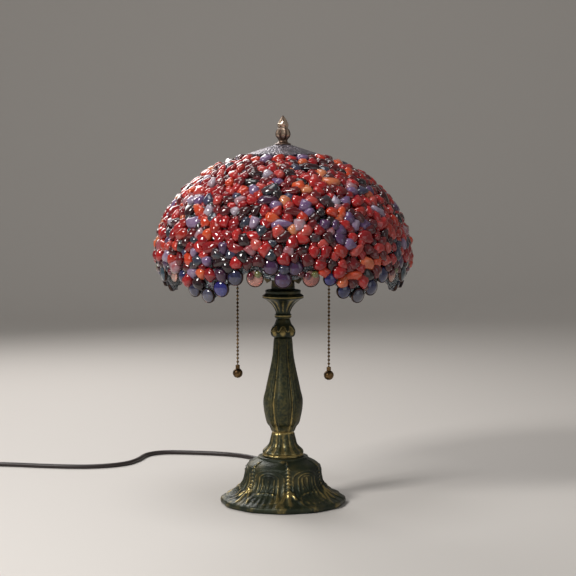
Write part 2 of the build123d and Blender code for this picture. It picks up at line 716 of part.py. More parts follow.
save("power_cord", hose("power_cord", CORD_ROUTE, CORD_RADIUS) - coil())
save("cord_coil", coil())
save("cord_tail", hose("cord_tail", TAIL_ROUTE, CORD_RADIUS) - coil())
save("plug_body", plug_body())
save("plug_blades", Compound(plug_blades()))
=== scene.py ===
import bpy
import numpy as np
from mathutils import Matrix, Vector


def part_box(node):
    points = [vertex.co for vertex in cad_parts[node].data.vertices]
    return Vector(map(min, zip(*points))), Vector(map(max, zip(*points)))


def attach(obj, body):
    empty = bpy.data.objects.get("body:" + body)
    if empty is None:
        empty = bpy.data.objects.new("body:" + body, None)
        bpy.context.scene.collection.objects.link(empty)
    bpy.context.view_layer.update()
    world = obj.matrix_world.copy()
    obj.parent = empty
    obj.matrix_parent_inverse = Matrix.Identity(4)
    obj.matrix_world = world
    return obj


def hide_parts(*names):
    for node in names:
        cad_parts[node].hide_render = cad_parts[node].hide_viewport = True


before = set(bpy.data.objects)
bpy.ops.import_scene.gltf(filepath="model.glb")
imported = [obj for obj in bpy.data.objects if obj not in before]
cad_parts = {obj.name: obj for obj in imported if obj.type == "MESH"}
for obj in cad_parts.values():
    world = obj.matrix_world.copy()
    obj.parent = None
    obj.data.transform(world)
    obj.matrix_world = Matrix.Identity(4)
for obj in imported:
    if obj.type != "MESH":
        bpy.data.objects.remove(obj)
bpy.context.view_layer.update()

# ---- Camera and studio --------------------------------------------------------------------------
# A long lens a little above the shade's rim, ten degrees east of the front, so that the ornament faces it.
# One soft window-like light stands at the upper left, with a weak fill on the right and a pale sweep behind.
FRONT_TURN = np.radians(10)
FRONT = np.array([np.sin(FRONT_TURN), -np.cos(FRONT_TURN), 0.0])
ACROSS = np.array([np.cos(FRONT_TURN), np.sin(FRONT_TURN), 0.0])
UP = np.array([0.0, 0.0, 1.0])
LENS = 106.0
DISTANCE = 2.04
EYE_HEIGHT = 0.427


def aim(thing, place, target):
    """Stand a light or the camera at a place with its -Z axis towards the target."""
    thing.location = place
    thing.rotation_euler = Vector(np.subtract(target, place)).to_track_quat("-Z", "Y").to_euler()
    bpy.context.scene.collection.objects.link(thing)
    return thing


camera = bpy.data.objects.new("camera", bpy.data.cameras.new("camera"))
camera.data.lens = LENS
camera.data.clip_end = 20.0
aim(camera, DISTANCE * FRONT + EYE_HEIGHT * UP, 0.006 * ACROSS + 0.2616 * UP)
bpy.context.scene.camera = camera


def soft_light(name, place, size, power, colour, target=(0, 0, 0.3)):
    """A square area light."""
    lamp = bpy.data.lights.new(name, "AREA")
    lamp.size = size
    lamp.energy = power
    lamp.color = colour
    return aim(bpy.data.objects.new(name, lamp), place, target)


soft_light("key", 1.1 * FRONT - 1.25 * ACROSS + 1.35 * UP, 0.42, 30.0, (1.0, 0.98, 0.95))
soft_light("top", 0.2 * FRONT - 0.2 * ACROSS + 1.7 * UP, 0.7, 7.0, (1.0, 1.0, 1.0))
soft_light("fill", 1.3 * FRONT + 1.5 * ACROSS + 0.6 * UP, 1.2, 3.0, (0.9, 0.95, 1.0))
soft_light("back", -1.3 * FRONT - 0.6 * ACROSS + 1.1 * UP, 0.9, 12.0, (1.0, 0.97, 0.95))
world = bpy.data.worlds.new("studio")
world.use_nodes = True
world.node_tree.nodes["Background"].inputs["Color"].default_value = (0.75, 0.73, 0.70, 1)
world.node_tree.nodes["Background"].inputs["Strength"].default_value = 0.26
bpy.context.scene.world = world
bpy.context.scene.view_settings.view_transform = "Standard"


def put_mesh(name, points, faces, smooth=True):
    """A mesh object at the origin from an array of points and a list of face index arrays."""
    mesh = bpy.data.meshes.new(name)
    mesh.from_pydata(points.reshape(-1, 3).tolist(), [], [face for rows in faces for face in rows.tolist()])
    mesh.polygons.foreach_set("use_smooth", [smooth] * len(mesh.polygons))
    mesh.update()
    thing = bpy.data.objects.new(name, mesh)
    bpy.context.scene.collection.objects.link(thing)
    return thing


def grid_faces(rows, columns, wrap_rows=False, wrap_columns=True):
    """Quads over a grid of rows by columns, joined round the columns and, if asked, round the rows."""
    row = np.arange(rows if wrap_rows else rows - 1)[:, None]
    column = np.arange(columns if wrap_columns else columns - 1)[None, :]
    below, beside = (row + 1) % rows, (column + 1) % columns
    here, next_row = row * columns, below * columns
    corners = [here + column, here + beside, next_row + beside, next_row + column]
    return np.stack(corners, -1).reshape(-1, 4)


# The floor runs back and curves up into the backdrop.
sweep_turn = np.linspace(0, np.pi / 2, 16)
sweep_back = np.concatenate([[-4.0], 2.2 + 1.2 * np.sin(sweep_turn), [3.4]])
sweep_rise = np.concatenate([[0.0], 1.2 - 1.2 * np.cos(sweep_turn), [5.0]])
sweep_side = np.array([-5.0, 5.0])
sweep_points = (-sweep_back[:, None, None] * FRONT + sweep_rise[:, None, None] * UP
                + sweep_side[None, :, None] * ACROSS)
backdrop = put_mesh("backdrop", sweep_points, [grid_faces(18, 2, wrap_columns=False)])


# ---- Finishes: how a shader is written ----------------------------------------------------------
class Socket:
    """One output of a shader node. Arithmetic on it adds the Math node that does the same."""

    def __init__(self, finish, output):
        self.finish, self.output = finish, output

    def maths(self, operation, *values):
        return self.finish.add("ShaderNodeMath", {"operation": operation}, dict(enumerate(values)))

    def __add__(self, other):
        return self.maths("ADD", self, other)

    def __sub__(self, other):
        return self.maths("SUBTRACT", self, other)

    def __rsub__(self, other):
        return self.maths("SUBTRACT", other, self)

    def __mul__(self, other):
        return self.maths("MULTIPLY", self, other)

    def between(self, low, high):
        """0 below low, 1 above high, and a smooth step between."""
        settings = {"interpolation_type": "SMOOTHSTEP"}
        sockets = {"Value": self, "From Min": low, "From Max": high}
        return self.finish.add("ShaderNodeMapRange", settings, sockets)

    __radd__ = __add__
    __rmul__ = __mul__


class Finish:
    """A material built from nodes around one Principled shader."""

    def __init__(self, name, **plain):
        self.material = bpy.data.materials.new(name)
        self.material.use_nodes = True
        self.tree = self.material.node_tree
        self.shader = self.tree.nodes["Principled BSDF"]
        for key, value in plain.items():
            self.set({"IOR" if key == "ior" else key.replace("_", " ").title(): value})

    def add(self, kind, settings, sockets, output=0):
        """Any node: its settings first, then the values or links of its sockets."""
        node = self.tree.nodes.new(kind)
        for key, value in settings.items():
            if key == "stops":
                for number, (place, colour) in enumerate(value):
                    elements = node.color_ramp.elements
                    stop = elements[number] if number < 2 else elements.new(place)
                    stop.position, stop.color = place, (*colour, 1)
            else:
                setattr(node, key, value)
        for key, value in sockets.items():
            self.feed(node.inputs[key], value)
        return Socket(self, node.outputs[output])

    def feed(self, socket, value):
        """Link a Socket, or set a plain number or colour."""
        if isinstance(value, Socket):
            self.tree.links.new(value.output, socket)
        elif socket.type == "RGBA" and len(value) == 3:
            socket.default_value = (*value, 1)
        else:
            socket.default_value = value

    def set(self, sockets):
        for key, value in sockets.items():
            self.feed(self.shader.inputs[key], value)
        return self

    def place(self):
        return self.add("ShaderNodeTexCoord", {}, {}, output="Object")

    def noise(self, scale, detail=3.0):
        spots = {"Vector": self.place(), "Scale": scale, "Detail": detail}
        return self.add("ShaderNodeTexNoise", {}, spots)

    def cells(self, scale, feature="F1", output="Distance"):
        spots = {"Vector": self.place(), "Scale": scale}
        return self.add("ShaderNodeTexVoronoi", {"feature": feature}, spots, output=output)

    def attribute(self, name, output="Fac"):
        return self.add("ShaderNodeAttribute", {"attribute_name": name}, {}, output=output)

    def ramp(self, factor, *stops):
        return self.add("ShaderNodeValToRGB", {"stops": stops}, {"Fac": factor})

    def mottle(self, scale, first, second):
        """Set the base colour to two tones in soft patches."""
        return self.set({"Base Color": self.ramp(self.noise(scale), (0.3, first), (0.7, second))})

    def blend(self, factor, first, second):
        return self.add("ShaderNodeMix", {"data_type": "RGBA"}, {0: factor, 6: first, 7: second}, output=2)

    def bump(self, height, depth, strength=1.0):
        """Feed a height pattern, counted in metres of depth, to the shader's normal."""
        sockets = {"Strength": strength, "Distance": depth, "Height": height}
        self.set({"Normal": self.add("ShaderNodeBump", {}, sockets)})
        return self


def finish_node(finish, *nodes):
    """Give a carried-over node its finish."""
    for name in nodes:
        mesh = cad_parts[name].data
        mesh.materials.clear()
        mesh.materials.append(finish.material)


studio_paint = Finish("studio_paint", base_color=(0.62, 0.59, 0.56), roughness=0.7)
backdrop.data.materials.append(studio_paint.material)


# ---- Cord, coil and plug ------------------------------------------------------------------------
# A dark round mains lead leaves the back of the foot, lies on the table and bends round to the left.
# What isn't used is wound in a neat coil of two columns, with a moulded flat plug beside it.
CORD_RADIUS = 0.003
CORD_REST = 0.00305
EXIT = -0.0779 * FRONT + 0.008 * UP
cord_route = [tuple(EXIT), tuple(EXIT - 0.028 * FRONT)]
cord_route += [(-0.027, 0.138, CORD_REST), (-0.041, 0.184, CORD_REST), (-0.060, 0.232, CORD_REST)]
cord_route += [(-0.086, 0.271, CORD_REST), (-0.130, 0.294, CORD_REST), (-0.194, 0.296, CORD_REST)]
cord_route += [(-0.226, 0.291, CORD_REST), (-0.243, 0.268, CORD_REST), (-0.242, 0.230, CORD_REST)]
cord_route += [(-0.252, 0.192, CORD_REST), (-0.291, 0.166, CORD_REST), (-0.350, 0.162, CORD_REST)]
cord_route += [(-0.411, 0.166, CORD_REST), (-0.452, 0.160, CORD_REST)]

# The coil: an angle that grows steadily, a radius that steps in and out, and a height that steps up.
coil_low, coil_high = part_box("cord_coil")
coil_middle = (coil_low + coil_high) / 2
coil_angle = np.radians(np.arange(100, 360 * 5 + 180, 22.5))
coil_turn = (coil_angle - coil_angle[0]) / (2 * np.pi)
steps = [0, 0.9, 1.1, 1.9, 2.1, 2.9, 3.1, 3.9, 4.1, 5.3]
OUTER_TURN, INNER_TURN, MIDDLE_TURN = 0.0368, 0.0302, 0.0335
FIRST_LAYER, SECOND_LAYER, LAST_TURN = 0.003, 0.009, 0.0148
coil_radius = np.repeat([OUTER_TURN, INNER_TURN, INNER_TURN, OUTER_TURN, MIDDLE_TURN], 2)
coil_radius = np.interp(coil_turn, steps, coil_radius)
coil_height = np.repeat([FIRST_LAYER, FIRST_LAYER, SECOND_LAYER, SECOND_LAYER, LAST_TURN], 2)
coil_height = np.interp(coil_turn, steps, coil_height)
coil_points = np.stack([coil_middle.x + coil_radius * np.cos(coil_angle),
                        coil_middle.y + coil_radius * np.sin(coil_angle), coil_height], -1)
cord_tail = [(-0.5140, 0.1050, 0.0135), (-0.5140, 0.0860, 0.0095), (-0.5118, 0.0650, 0.0075)]
cord_tail += [(-0.5115, 0.0440, 0.0075)]
cord_points = np.array(cord_route + [tuple(point) for point in coil_points] + cord_tail)

lead = bpy.data.curves.new("cord", "CURVE")
lead.dimensions = "3D"
strand = lead.splines.new("NURBS")
strand.points.add(len(cord_points) - 1)
strand.points.foreach_set("co", np.hstack([cord_points, np.ones((len(cord_points), 1))]).ravel())
strand.order_u = 3
strand.use_endpoint_u = True
lead.bevel_depth = CORD_RADIUS
lead.bevel_resolution = 5
lead.resolution_u = 8
lead.use_fill_caps = True
cord = bpy.data.objects.new("mains_cord", lead)
bpy.context.scene.collection.objects.link(cord)
jacket = Finish("cord_jacket", base_color=(0.022, 0.014, 0.013), roughness=0.42, ior=1.5)
jacket.bump(jacket.noise(900.0), 0.00006)
lead.materials.append(jacket.material)
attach(cord, "lamp")
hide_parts("power_cord", "cord_coil", "cord_tail")


def turned_on(name, profile, foot, axis, columns=32):
    """A profile of (distance along the axis, radius) turned about an axis that starts at foot."""
    axis = np.array(axis, float) / np.linalg.norm(axis)
    side = np.cross(axis, UP if abs(axis[2]) < 0.9 else ACROSS)
    side /= np.linalg.norm(side)
    around = np.linspace(0, 2 * np.pi, columns, endpoint=False)
    ring = np.cos(around)[:, None] * side + np.sin(around)[:, None] * np.cross(axis, side)
    along, radius = np.array(profile).T
    points = np.array(foot) + along[:, None, None] * axis + radius[:, None, None] * ring[None]
    last = (len(profile) - 1) * columns
    caps = [np.arange(columns)[None, ::-1], last + np.arange(columns)[None]]
    return put_mesh(name, points, [grid_faces(len(profile), columns), *caps])


# The tapered strain relief is ribbed, and grips the lead where it leaves the lug.
RELIEF_LENGTH = 0.022
RELIEF_RADIUS = 0.0052
relief_along = np.linspace(0, RELIEF_LENGTH, 45)
relief_taper = RELIEF_RADIUS - 0.0016 * relief_along / RELIEF_LENGTH
relief_ribs = 0.0003 * np.cos(relief_along / RELIEF_LENGTH * 14 * np.pi)
relief = turned_on("strain_relief", np.stack([relief_along, relief_taper + relief_ribs], -1), EXIT, -FRONT)
rubber = Finish("relief_rubber", base_color=(0.02, 0.018, 0.017), roughness=0.55)
rubber.bump(rubber.noise(700.0), 0.0001)
relief.data.materials.append(rubber.material)
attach(relief, "lamp")
plug_plastic = Finish("plug_plastic", base_color=(0.02, 0.016, 0.015), roughness=0.4)
plug_plastic.bump(plug_plastic.noise(1200.0), 0.00008)
finish_node(plug_plastic, "plug_body", "cord_bushing")
blade_brass = Finish("blade_brass", metallic=1.0, roughness=0.28)
blade_brass.mottle(300.0, (0.55, 0.42, 0.2), (0.8, 0.68, 0.4))
finish_node(blade_brass, "plug_blades")
bpy.context.view_layer.update()


# ---- Foot and stem castings ---------------------------------------------------------------------
# Hollow zinc castings with raised arches, flutes and gadroons, stacked on a threaded pipe.
# They are painted a dark green bronze and rubbed back, so that the high spots show yellow bronze.
def through(points, count):
    """A smooth line through points: Catmull-Rom, each span a cubic of its two points and their neighbours."""
    points = np.array(points, float)
    padded = np.vstack([2 * points[0] - points[1], points, 2 * points[-1] - points[-2]])
    spot = np.linspace(0, len(points) - 1 - 1e-9, count)
    span = spot.astype(int)
    t = (spot - span)[:, None]
    a, b, c, d = (padded[span + shift] for shift in range(4))
    return 0.5 * (2 * b + (c - a) * t + (2 * a - 5 * b + 4 * c - d) * t**2 + (3 * b - a - 3 * c + d) * t**3)


def casting(name, outside, inside, relief, columns, body="lamp"):
    """A turned shell whose outside moves out by relief(angle, height), in metres. The inside stays plain."""
    around = np.linspace(0, 2 * np.pi, columns, endpoint=False)
    loop = np.vstack([outside, inside])
    lift = np.zeros((len(loop), columns))
    lift[:len(outside)] = relief(around[None, :], outside[:, 1][:, None])
    slope = np.gradient(outside, axis=0)
    steep = np.zeros((len(loop), 2))
    steep[:len(outside)] = np.stack([-slope[:, 1], slope[:, 0]], -1) / np.linalg.norm(slope, axis=1)[:, None]
    radius = loop[:, 0][:, None] + lift * steep[:, 0][:, None]
    height = loop[:, 1][:, None] + lift * steep[:, 1][:, None]
    face = around + FRONT_TURN - np.pi / 2
    points = np.stack([radius * np.cos(face), radius * np.sin(face), height], -1)
    thing = put_mesh(name, points, [grid_faces(len(loop), columns, wrap_rows=True)[:, ::-1]])
    wear = thing.data.attributes.new("wear", "FLOAT", "POINT")
    peak = np.abs(lift).max() + 1e-9
    wear.data.foreach_set("value", (0.5 + 0.5 * lift / peak).ravel().astype(np.float32))
    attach(thing, body)
    return thing


def ridge(distance, width):
    """A rounded ridge: a bell curve of the distance from its crest."""
    return np.exp(-(distance / width) ** 2)


def within(height, low, high, soft=0.002):
    """1 between two heights, falling smoothly to 0 outside them."""
    return 1 / (1 + np.exp(-(height - low) / soft)) / (1 + np.exp((height - high) / soft))


def patina(name, worn=0.52, olive=0.0):
    """Dark green bronze with brown in its hollows, and yellow bronze where the relief stands out."""
    finish = Finish(name)
    mottle = finish.noise(55.0, 5.0)
    fine = finish.noise(320.0, 4.0)
    wear = (finish.attribute("wear") + (mottle - 0.5) * 0.55 + (fine - 0.5) * 0.35).between(worn, worn + 0.28)
    ground = finish.ramp(mottle, (0.3, (0.007, 0.011, 0.006)), (0.5, (0.020, 0.027, 0.013)),
                         (0.72, (0.070, 0.060, 0.022)))
    ground = finish.blend(fine.between(0.35, 0.75) * olive, ground, (0.13, 0.11, 0.035))
    finish.set({"Base Color": finish.blend(wear, ground, (0.34, 0.26, 0.10))})
    finish.set({"Metallic": wear * 0.45 + 0.45, "Roughness": 0.44 - wear * 0.14 + (fine - 0.5) * 0.2})
    return finish.bump(fine + mottle * 0.6, 0.00035)


foot_outside = through([(0.0052, 0.058), (0.0285, 0.058), (0.0312, 0.0552), (0.041, 0.050), (0.0455, 0.0444),
                        (0.0475, 0.030), (0.0535, 0.020), (0.0645, 0.0115), (0.0738, 0.0074),
                        (0.0757, 0.0045), (0.0755, 0.0016)], 170)
foot_outside = np.vstack([[(0.0052, 0.058)], foot_outside[foot_outside[:, 0] > 0.0285 * 0.999]])
foot_inside = np.array([(0.071, 0.0015), (0.069, 0.004), (0.050, 0.0165), (0.0425, 0.030), (0.038, 0.046),
                        (0.0052, 0.052)])


def foot_relief(angle, height):
    """Six panels: a shell in nested arches, veined leaves between, a V below, gadroons and a wavy rim."""
    panel = (angle + np.radians(22)) / (np.pi / 3)
    across = (panel - np.round(panel)) * 2
    above = np.clip((height - 0.036) / 0.0125, 0, None)
    arch = np.hypot(across, above)
    upper = within(height, 0.018, 0.053)
    nested = sum(ridge(arch - size, 0.05) * lift for size, lift in ((0.30, 1.0), (0.50, 1.2), (0.78, 0.9)))
    fan = np.arctan2(across, (height - 0.020) / 0.014)
    shell = np.cos(18 * fan) * ridge(arch, 0.27) * 0.8
    veins = np.cos(height * 1500 - np.abs(across) * 16) * ridge(np.abs(across) - 1.0, 0.20) * upper * 0.45
    edge = ridge(np.abs(across) - 1.0, 0.075) * within(height, 0.020, 0.054) * 1.2
    low = within(height, 0.0085, 0.0225, 0.0012)
    fall = np.clip(0.0235 - height, 0, None)
    fleur = (ridge(np.abs(across) - 1.0 + fall * 30, 0.08) + ridge(np.abs(across) - 1.0, 0.10)) * low * 1.4
    curl = ridge(np.hypot(across * 1.15, (height - 0.0150) / 0.0085) - 0.62, 0.10) * low * 0.9
    gadroon = np.cos(angle * 54) * low * 0.35
    rim = within(height, 0.0, 0.0085, 0.0010) * (0.75 * np.cos(angle * 12) + 0.25)
    medallion = ridge(np.angle(np.exp(1j * angle)), 0.16) * ridge(height - 0.0545, 0.0022) * 1.4
    panels = upper * (nested + shell) + veins + edge
    return 0.0011 * (panels + fleur + curl + gadroon + rim + medallion - 0.45)


foot = casting("foot", foot_outside, foot_inside, foot_relief, 460)
foot_patina = patina("foot_patina")
foot.data.materials.append(foot_patina.material)
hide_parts("base_casting")

column_outside = through([(0.0255, 0.0582), (0.0255, 0.060), (0.0245, 0.0636), (0.0177, 0.0705),
                          (0.0154, 0.078), (0.0142, 0.086), (0.016, 0.0936), (0.0197, 0.101),
                          (0.0230, 0.123), (0.0198, 0.140),
                          (0.012, 0.178), (0.0105, 0.2018)], 180)
column_inside = np.array([(0.0052, 0.2018), (0.0052, 0.180), (0.009, 0.180), (0.009, 0.066), (0.0052, 0.066),
                          (0.0052, 0.0582)])


def column_relief(angle, height):
    """Six broad flutes with a narrow rib between each pair, deepest on the belly, and a lobed foot."""
    panel = (angle + np.pi / 6) / (np.pi / 3)
    across = np.abs((panel - np.round(panel)) * 2)
    rib = ridge(across, 0.17) * 1.1 + ridge(across - 0.36, 0.07) * 0.55
    body = within(height, 0.094, 0.199, 0.003)
    bowl = within(height, 0.090, 0.104, 0.0015) * np.abs(np.cos(angle * 6)) * 0.6
    low = within(height, 0.061, 0.082, 0.003) * np.cos(angle * 12) * 0.35
    rings = ridge(height - 0.0865, 0.0016) * 0.5 + ridge(height - 0.0605, 0.0014) * 0.5
    return 0.0021 * (body * (rib - 0.75) + bowl * 0.6 + low + rings)


column = casting("column", column_outside, column_inside, column_relief, 300)
column_patina = patina("column_patina", 0.50, 0.55)
column.data.materials.append(column_patina.material)
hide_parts("column_casting")

knop_outside = through([(0.0105, 0.2021), (0.0144, 0.2045), (0.0154, 0.2095), (0.0136, 0.214),
                        (0.0098, 0.2185), (0.008, 0.2239)], 60)
knop_inside = np.array([(0.0052, 0.2239), (0.0052, 0.2021)])


def knop_relief(angle, height):
    """Eight pointed leaves that overlap: ridges along their ribs, and a scalloped edge where they curl."""
    petal = np.abs(np.cos(angle * 4)) * within(height, 0.2035, 0.216, 0.0012)
    tip = ridge(height - 0.2125 - 0.003 * np.cos(angle * 8), 0.0010) * 0.8
    return 0.0009 * (petal + tip - 0.5)


knop = casting("knop", knop_outside, knop_inside, knop_relief, 160)
knop.data.materials.append(patina("knop_patina", 0.44).material)
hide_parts("column_knop")

cup_outside = through([(0.008, 0.2241), (0.0102, 0.2265), (0.0102, 0.2295), (0.0089, 0.2315), (0.0105, 0.237),
                       (0.0148, 0.243), (0.0205, 0.2475), (0.025, 0.250), (0.025, 0.2523), (0.0226, 0.2543),
                       (0.0212, 0.2555), (0.0212, 0.259), (0.016, 0.2602), (0.0143, 0.261),
                       (0.0143, 0.264)], 120)
cup_inside = np.array([(0.0052, 0.264), (0.0052, 0.2241)])


def cup_relief(angle, height):
    """Twelve leaves climb the flare, a bead runs round the flange, and another round the neck."""
    leaves = (np.abs(np.cos(angle * 6)) - 0.5) * within(height, 0.233, 0.2475, 0.0012)
    beads = ridge(height - 0.2512, 0.0007) * 0.9 + ridge(height - 0.228, 0.0009) * 0.6
    return 0.0008 * (leaves + beads)


cup = casting("cup", cup_outside, cup_inside, cup_relief, 192)
cup.data.materials.append(patina("cup_patina", 0.54).material)
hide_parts("column_cup")
felt = Finish("felt", roughness=1.0)
felt.mottle(600.0, (0.02, 0.03, 0.02), (0.05, 0.07, 0.05))
felt.bump(felt.noise(900.0), 0.0004)
finish_node(felt, "base_felt")


# ---- Pipe, nuts and light cluster ---------------------------------------------------------------
# Zinc-plated pipe and nuts hold the stack together; the cluster above the cup is antique bronze.
plated = Finish("plated_steel", metallic=1.0)
plated.mottle(90.0, (0.42, 0.40, 0.33), (0.62, 0.60, 0.52))
plated.set({"Roughness": plated.noise(400.0) * 0.2 + 0.25})
finish_node(plated, "base_washer", "base_lock_washer", "base_nut", "cluster_nut", "rod_nuts", "seat_nut",
            "seat_washer", "center_pipe", "upper_rod", "arm_nipple_right", "arm_nipple_left")
iron = Finish("rough_iron", metallic=0.6, roughness=0.8)
iron.mottle(120.0, (0.04, 0.04, 0.04), (0.10, 0.08, 0.07))
iron.bump(iron.noise(300.0), 0.0006)
finish_node(iron, "base_weight")
finish_node(jacket, "lead_wire")


def antique(name, dark, light, roughness=0.34):
    """Brass or bronze gone dark in patches, brighter where it is handled."""
    finish = Finish(name, metallic=1.0)
    cloud = finish.noise(110.0, 4.0)
    finish.set({"Base Color": finish.ramp(cloud, (0.35, dark), (0.7, light))})
    finish.set({"Roughness": finish.noise(420.0) * 0.22 + (roughness - 0.1)})
    return finish.bump(cloud, 0.00015)


cluster_bronze = antique("cluster_bronze", (0.035, 0.03, 0.02), (0.16, 0.12, 0.06), 0.42)
finish_node(cluster_bronze, "cluster_body", "cluster_cover")
socket_brass = antique("socket_brass", (0.14, 0.09, 0.04), (0.48, 0.34, 0.15))
contact_brass = antique("contact_brass", (0.5, 0.38, 0.18), (0.8, 0.66, 0.36), 0.28)
card = Finish("liner_card", roughness=0.9)
card.mottle(500.0, (0.10, 0.08, 0.06), (0.17, 0.13, 0.09))
phenolic = Finish("core_phenolic", roughness=0.35)
phenolic.mottle(200.0, (0.02, 0.012, 0.01), (0.05, 0.03, 0.02))
chain_bronze = antique("chain_bronze", (0.05, 0.028, 0.014), (0.26, 0.16, 0.07), 0.36)
frosted = Finish("bulb_glass", roughness=0.25, transmission_weight=0.55)
frosted.mottle(200.0, (0.9, 0.9, 0.86), (0.97, 0.97, 0.94))
for side in ("right", "left"):
    brass_pieces = ("socket_cap", "socket_shell", "chain_guide", "switch_lever")
    finish_node(socket_brass, *(f"{piece}_{side}" for piece in brass_pieces))
    finish_node(contact_brass, f"screw_shell_{side}", f"bulb_base_{side}")
    finish_node(card, f"socket_liner_{side}")
    finish_node(phenolic, f"socket_core_{side}")
    finish_node(frosted, f"bulb_glass_{side}")
    finish_node(chain_bronze, *(f"{piece}_{side}" for piece in ("pull_lead", "pull_chain", "chain_knob")))


# ---- Web of the shade ---------------------------------------------------------------------------
# The stones are edged in foil and soldered to each other, and the gaps between them hold glass chips.
# Solder and chips together make one thin stiff dome, silvery grey with teal and smoke in it.
web = Finish("solder_web", metallic=0.55, roughness=0.3)
chip_edge = web.cells(210.0, "DISTANCE_TO_EDGE")
chip_tone = web.add("ShaderNodeSeparateColor", {}, {0: web.cells(210.0, output="Color")})
chips = web.ramp(chip_tone, (0.0, (0.05, 0.06, 0.08)), (0.35, (0.16, 0.20, 0.23)), (0.6, (0.08, 0.13, 0.15)),
                 (0.8, (0.38, 0.40, 0.44)), (1.0, (0.12, 0.08, 0.12)))
web.set({"Base Color": web.blend(chip_edge.between(0.02, 0.10), (0.40, 0.41, 0.43), chips)})
web.bump(chip_edge.between(0.0, 0.3), 0.0016)
finish_node(web, "solder_web")


def separate_solids(node):
    """Each solid's corner points: corners take the lowest label in their triangle until none changes."""
    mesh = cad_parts[node].data
    corners = np.empty(len(mesh.vertices) * 3)
    mesh.vertices.foreach_get("co", corners)
    mesh.calc_loop_triangles()
    triangles = np.empty(len(mesh.loop_triangles) * 3, int)
    mesh.loop_triangles.foreach_get("vertices", triangles)
    points, index = np.unique(np.round(corners.reshape(-1, 3), 6), axis=0, return_inverse=True)
    triangles = index.ravel()[triangles].reshape(-1, 3)
    label, before = np.arange(len(points)), None
    while before is None or (label != before).any():
        before = label.copy()
        lowest = label[triangles].min(axis=1)
        for corner in range(3):
            np.minimum.at(label, triangles[:, corner], lowest)
    return [points[label == which] for which in np.unique(label)]


def seat(points):
    """A solid's middle, its long, cross and outward unit axes, and its half sizes along them."""
    middle = (points.min(0) + points.max(0)) / 2
    middle = points.mean(0) * 0.5 + middle * 0.5
    axes = np.linalg.svd(points - points.mean(0), full_matrices=False)[2]
    outward = middle - np.array([0, 0, 0.30 - 0.35 * (middle[2] - 0.30)])
    outward /= np.linalg.norm(outward)
    which = int(np.argmax(np.abs(axes @ outward)))
    normal = axes[which] * np.sign(axes[which] @ outward)
    flat = np.delete(axes, which, axis=0)
    spread = np.abs((points - middle) @ flat.T).max(0)
    long_axis = flat[int(np.argmax(spread))]
    basis = np.stack([long_axis, np.cross(normal, long_axis), normal])
    local = (points - middle) @ basis.T
    middle = middle + (local.min(0) + local.max(0)) / 2 @ basis
    return middle, basis, (local.max(0) - local.min(0)) / 2


def many(name, seats, shape, closed_rows=False):
    """One mesh of many like pieces: shape gives (pieces, rows, columns, 3) in each seat's own half sizes."""
    middles = np.array([middle for middle, basis, half in seats])
    bases = np.array([basis for middle, basis, half in seats])
    points = middles[:, None, None, :] + np.einsum("prck,pkx->prcx", shape, bases)
    pieces, rows, columns = points.shape[:3]
    faces = grid_faces(rows, columns, wrap_rows=closed_rows)
    quads = (faces[None] + np.arange(pieces)[:, None, None] * rows * columns).reshape(-1, 4)
    caps = []
    if not closed_rows:
        starts = np.arange(pieces)[:, None] * rows * columns
        last = starts + (rows - 1) * columns
        caps = [starts + np.arange(columns)[None, ::-1], last + np.arange(columns)[None]]
    return put_mesh(name, points, [quads, *caps])


def per_piece(thing, name, values):
    """Store one number, or one colour, for every piece of a mesh made by many."""
    values = np.asarray(values, np.float32)
    each = len(thing.data.vertices) // len(values)
    kind, field = ("FLOAT", "value") if values.ndim == 1 else ("FLOAT_COLOR", "color")
    store = thing.data.attributes.new(name, kind, "POINT")
    store.data.foreach_set(field, np.repeat(values, each, axis=0).ravel())


# ---- Tumbled stones -----------------------------------------------------------------------------
# Agate and carnelian pebbles, with some amethyst, quartz and onyx, tumbled until they shine like glass.
# No two are alike: each is a lumpy, slightly boxy ellipsoid, seated in a narrow edge of foil and solder.
chance = np.random.default_rng(41)


def pebbles(halves, rows=6, columns=10):
    """A superellipsoid with lumps: its radius swells by slow waves round and up, different for each stone."""
    count = len(halves)
    up = np.linspace(-np.pi / 2 * 0.93, np.pi / 2 * 0.93, rows)[None, :, None]
    around = np.linspace(0, 2 * np.pi, columns, endpoint=False)[None, None, :]
    phase = chance.uniform(0, 2 * np.pi, (4, count, 1, 1))
    lumps = 1 + 0.08 * np.cos(2 * around + phase[0]) * np.cos(up)
    lumps = lumps + 0.11 * np.cos(3 * around + phase[1]) * np.cos(up)
    lumps = lumps + 0.10 * np.sin(2 * up + phase[2]) * np.cos(around + phase[3])
    power = chance.uniform(0.50, 0.92, (count, 1, 1))

    def round_off(value):
        return np.sign(value) * np.abs(value) ** power

    x = round_off(np.cos(around)) * np.cos(up) ** 0.75
    y = round_off(np.sin(around)) * np.cos(up) ** 0.75
    z = np.sign(np.sin(up)) * np.abs(np.sin(up)) ** 0.85 + 0 * around
    unit = np.stack(np.broadcast_arrays(x, y, z), -1)
    grow = np.array([1.08, 1.36, 1.14])
    return unit * lumps[..., None] * (np.array(halves) * grow)[:, None, None, :]


def shaken(seats, turn=0.95, tilt=0.22):
    """The same seats, turned in their own planes and tipped: the longer the stone, the less it turns."""
    moved = []
    for middle, basis, half in seats:
        angle = chance.normal(0, turn) * (half[1] / half[0]) ** 2
        swing = np.cos(angle) * basis[0] + np.sin(angle) * basis[1]
        normal = basis[2] + chance.normal(0, tilt, 2) @ basis[:2]
        normal /= np.linalg.norm(normal)
        cross = np.cross(normal, swing)
        cross /= np.linalg.norm(cross)
        moved.append((middle, np.stack([np.cross(cross, normal), cross, normal]), half))
    return moved


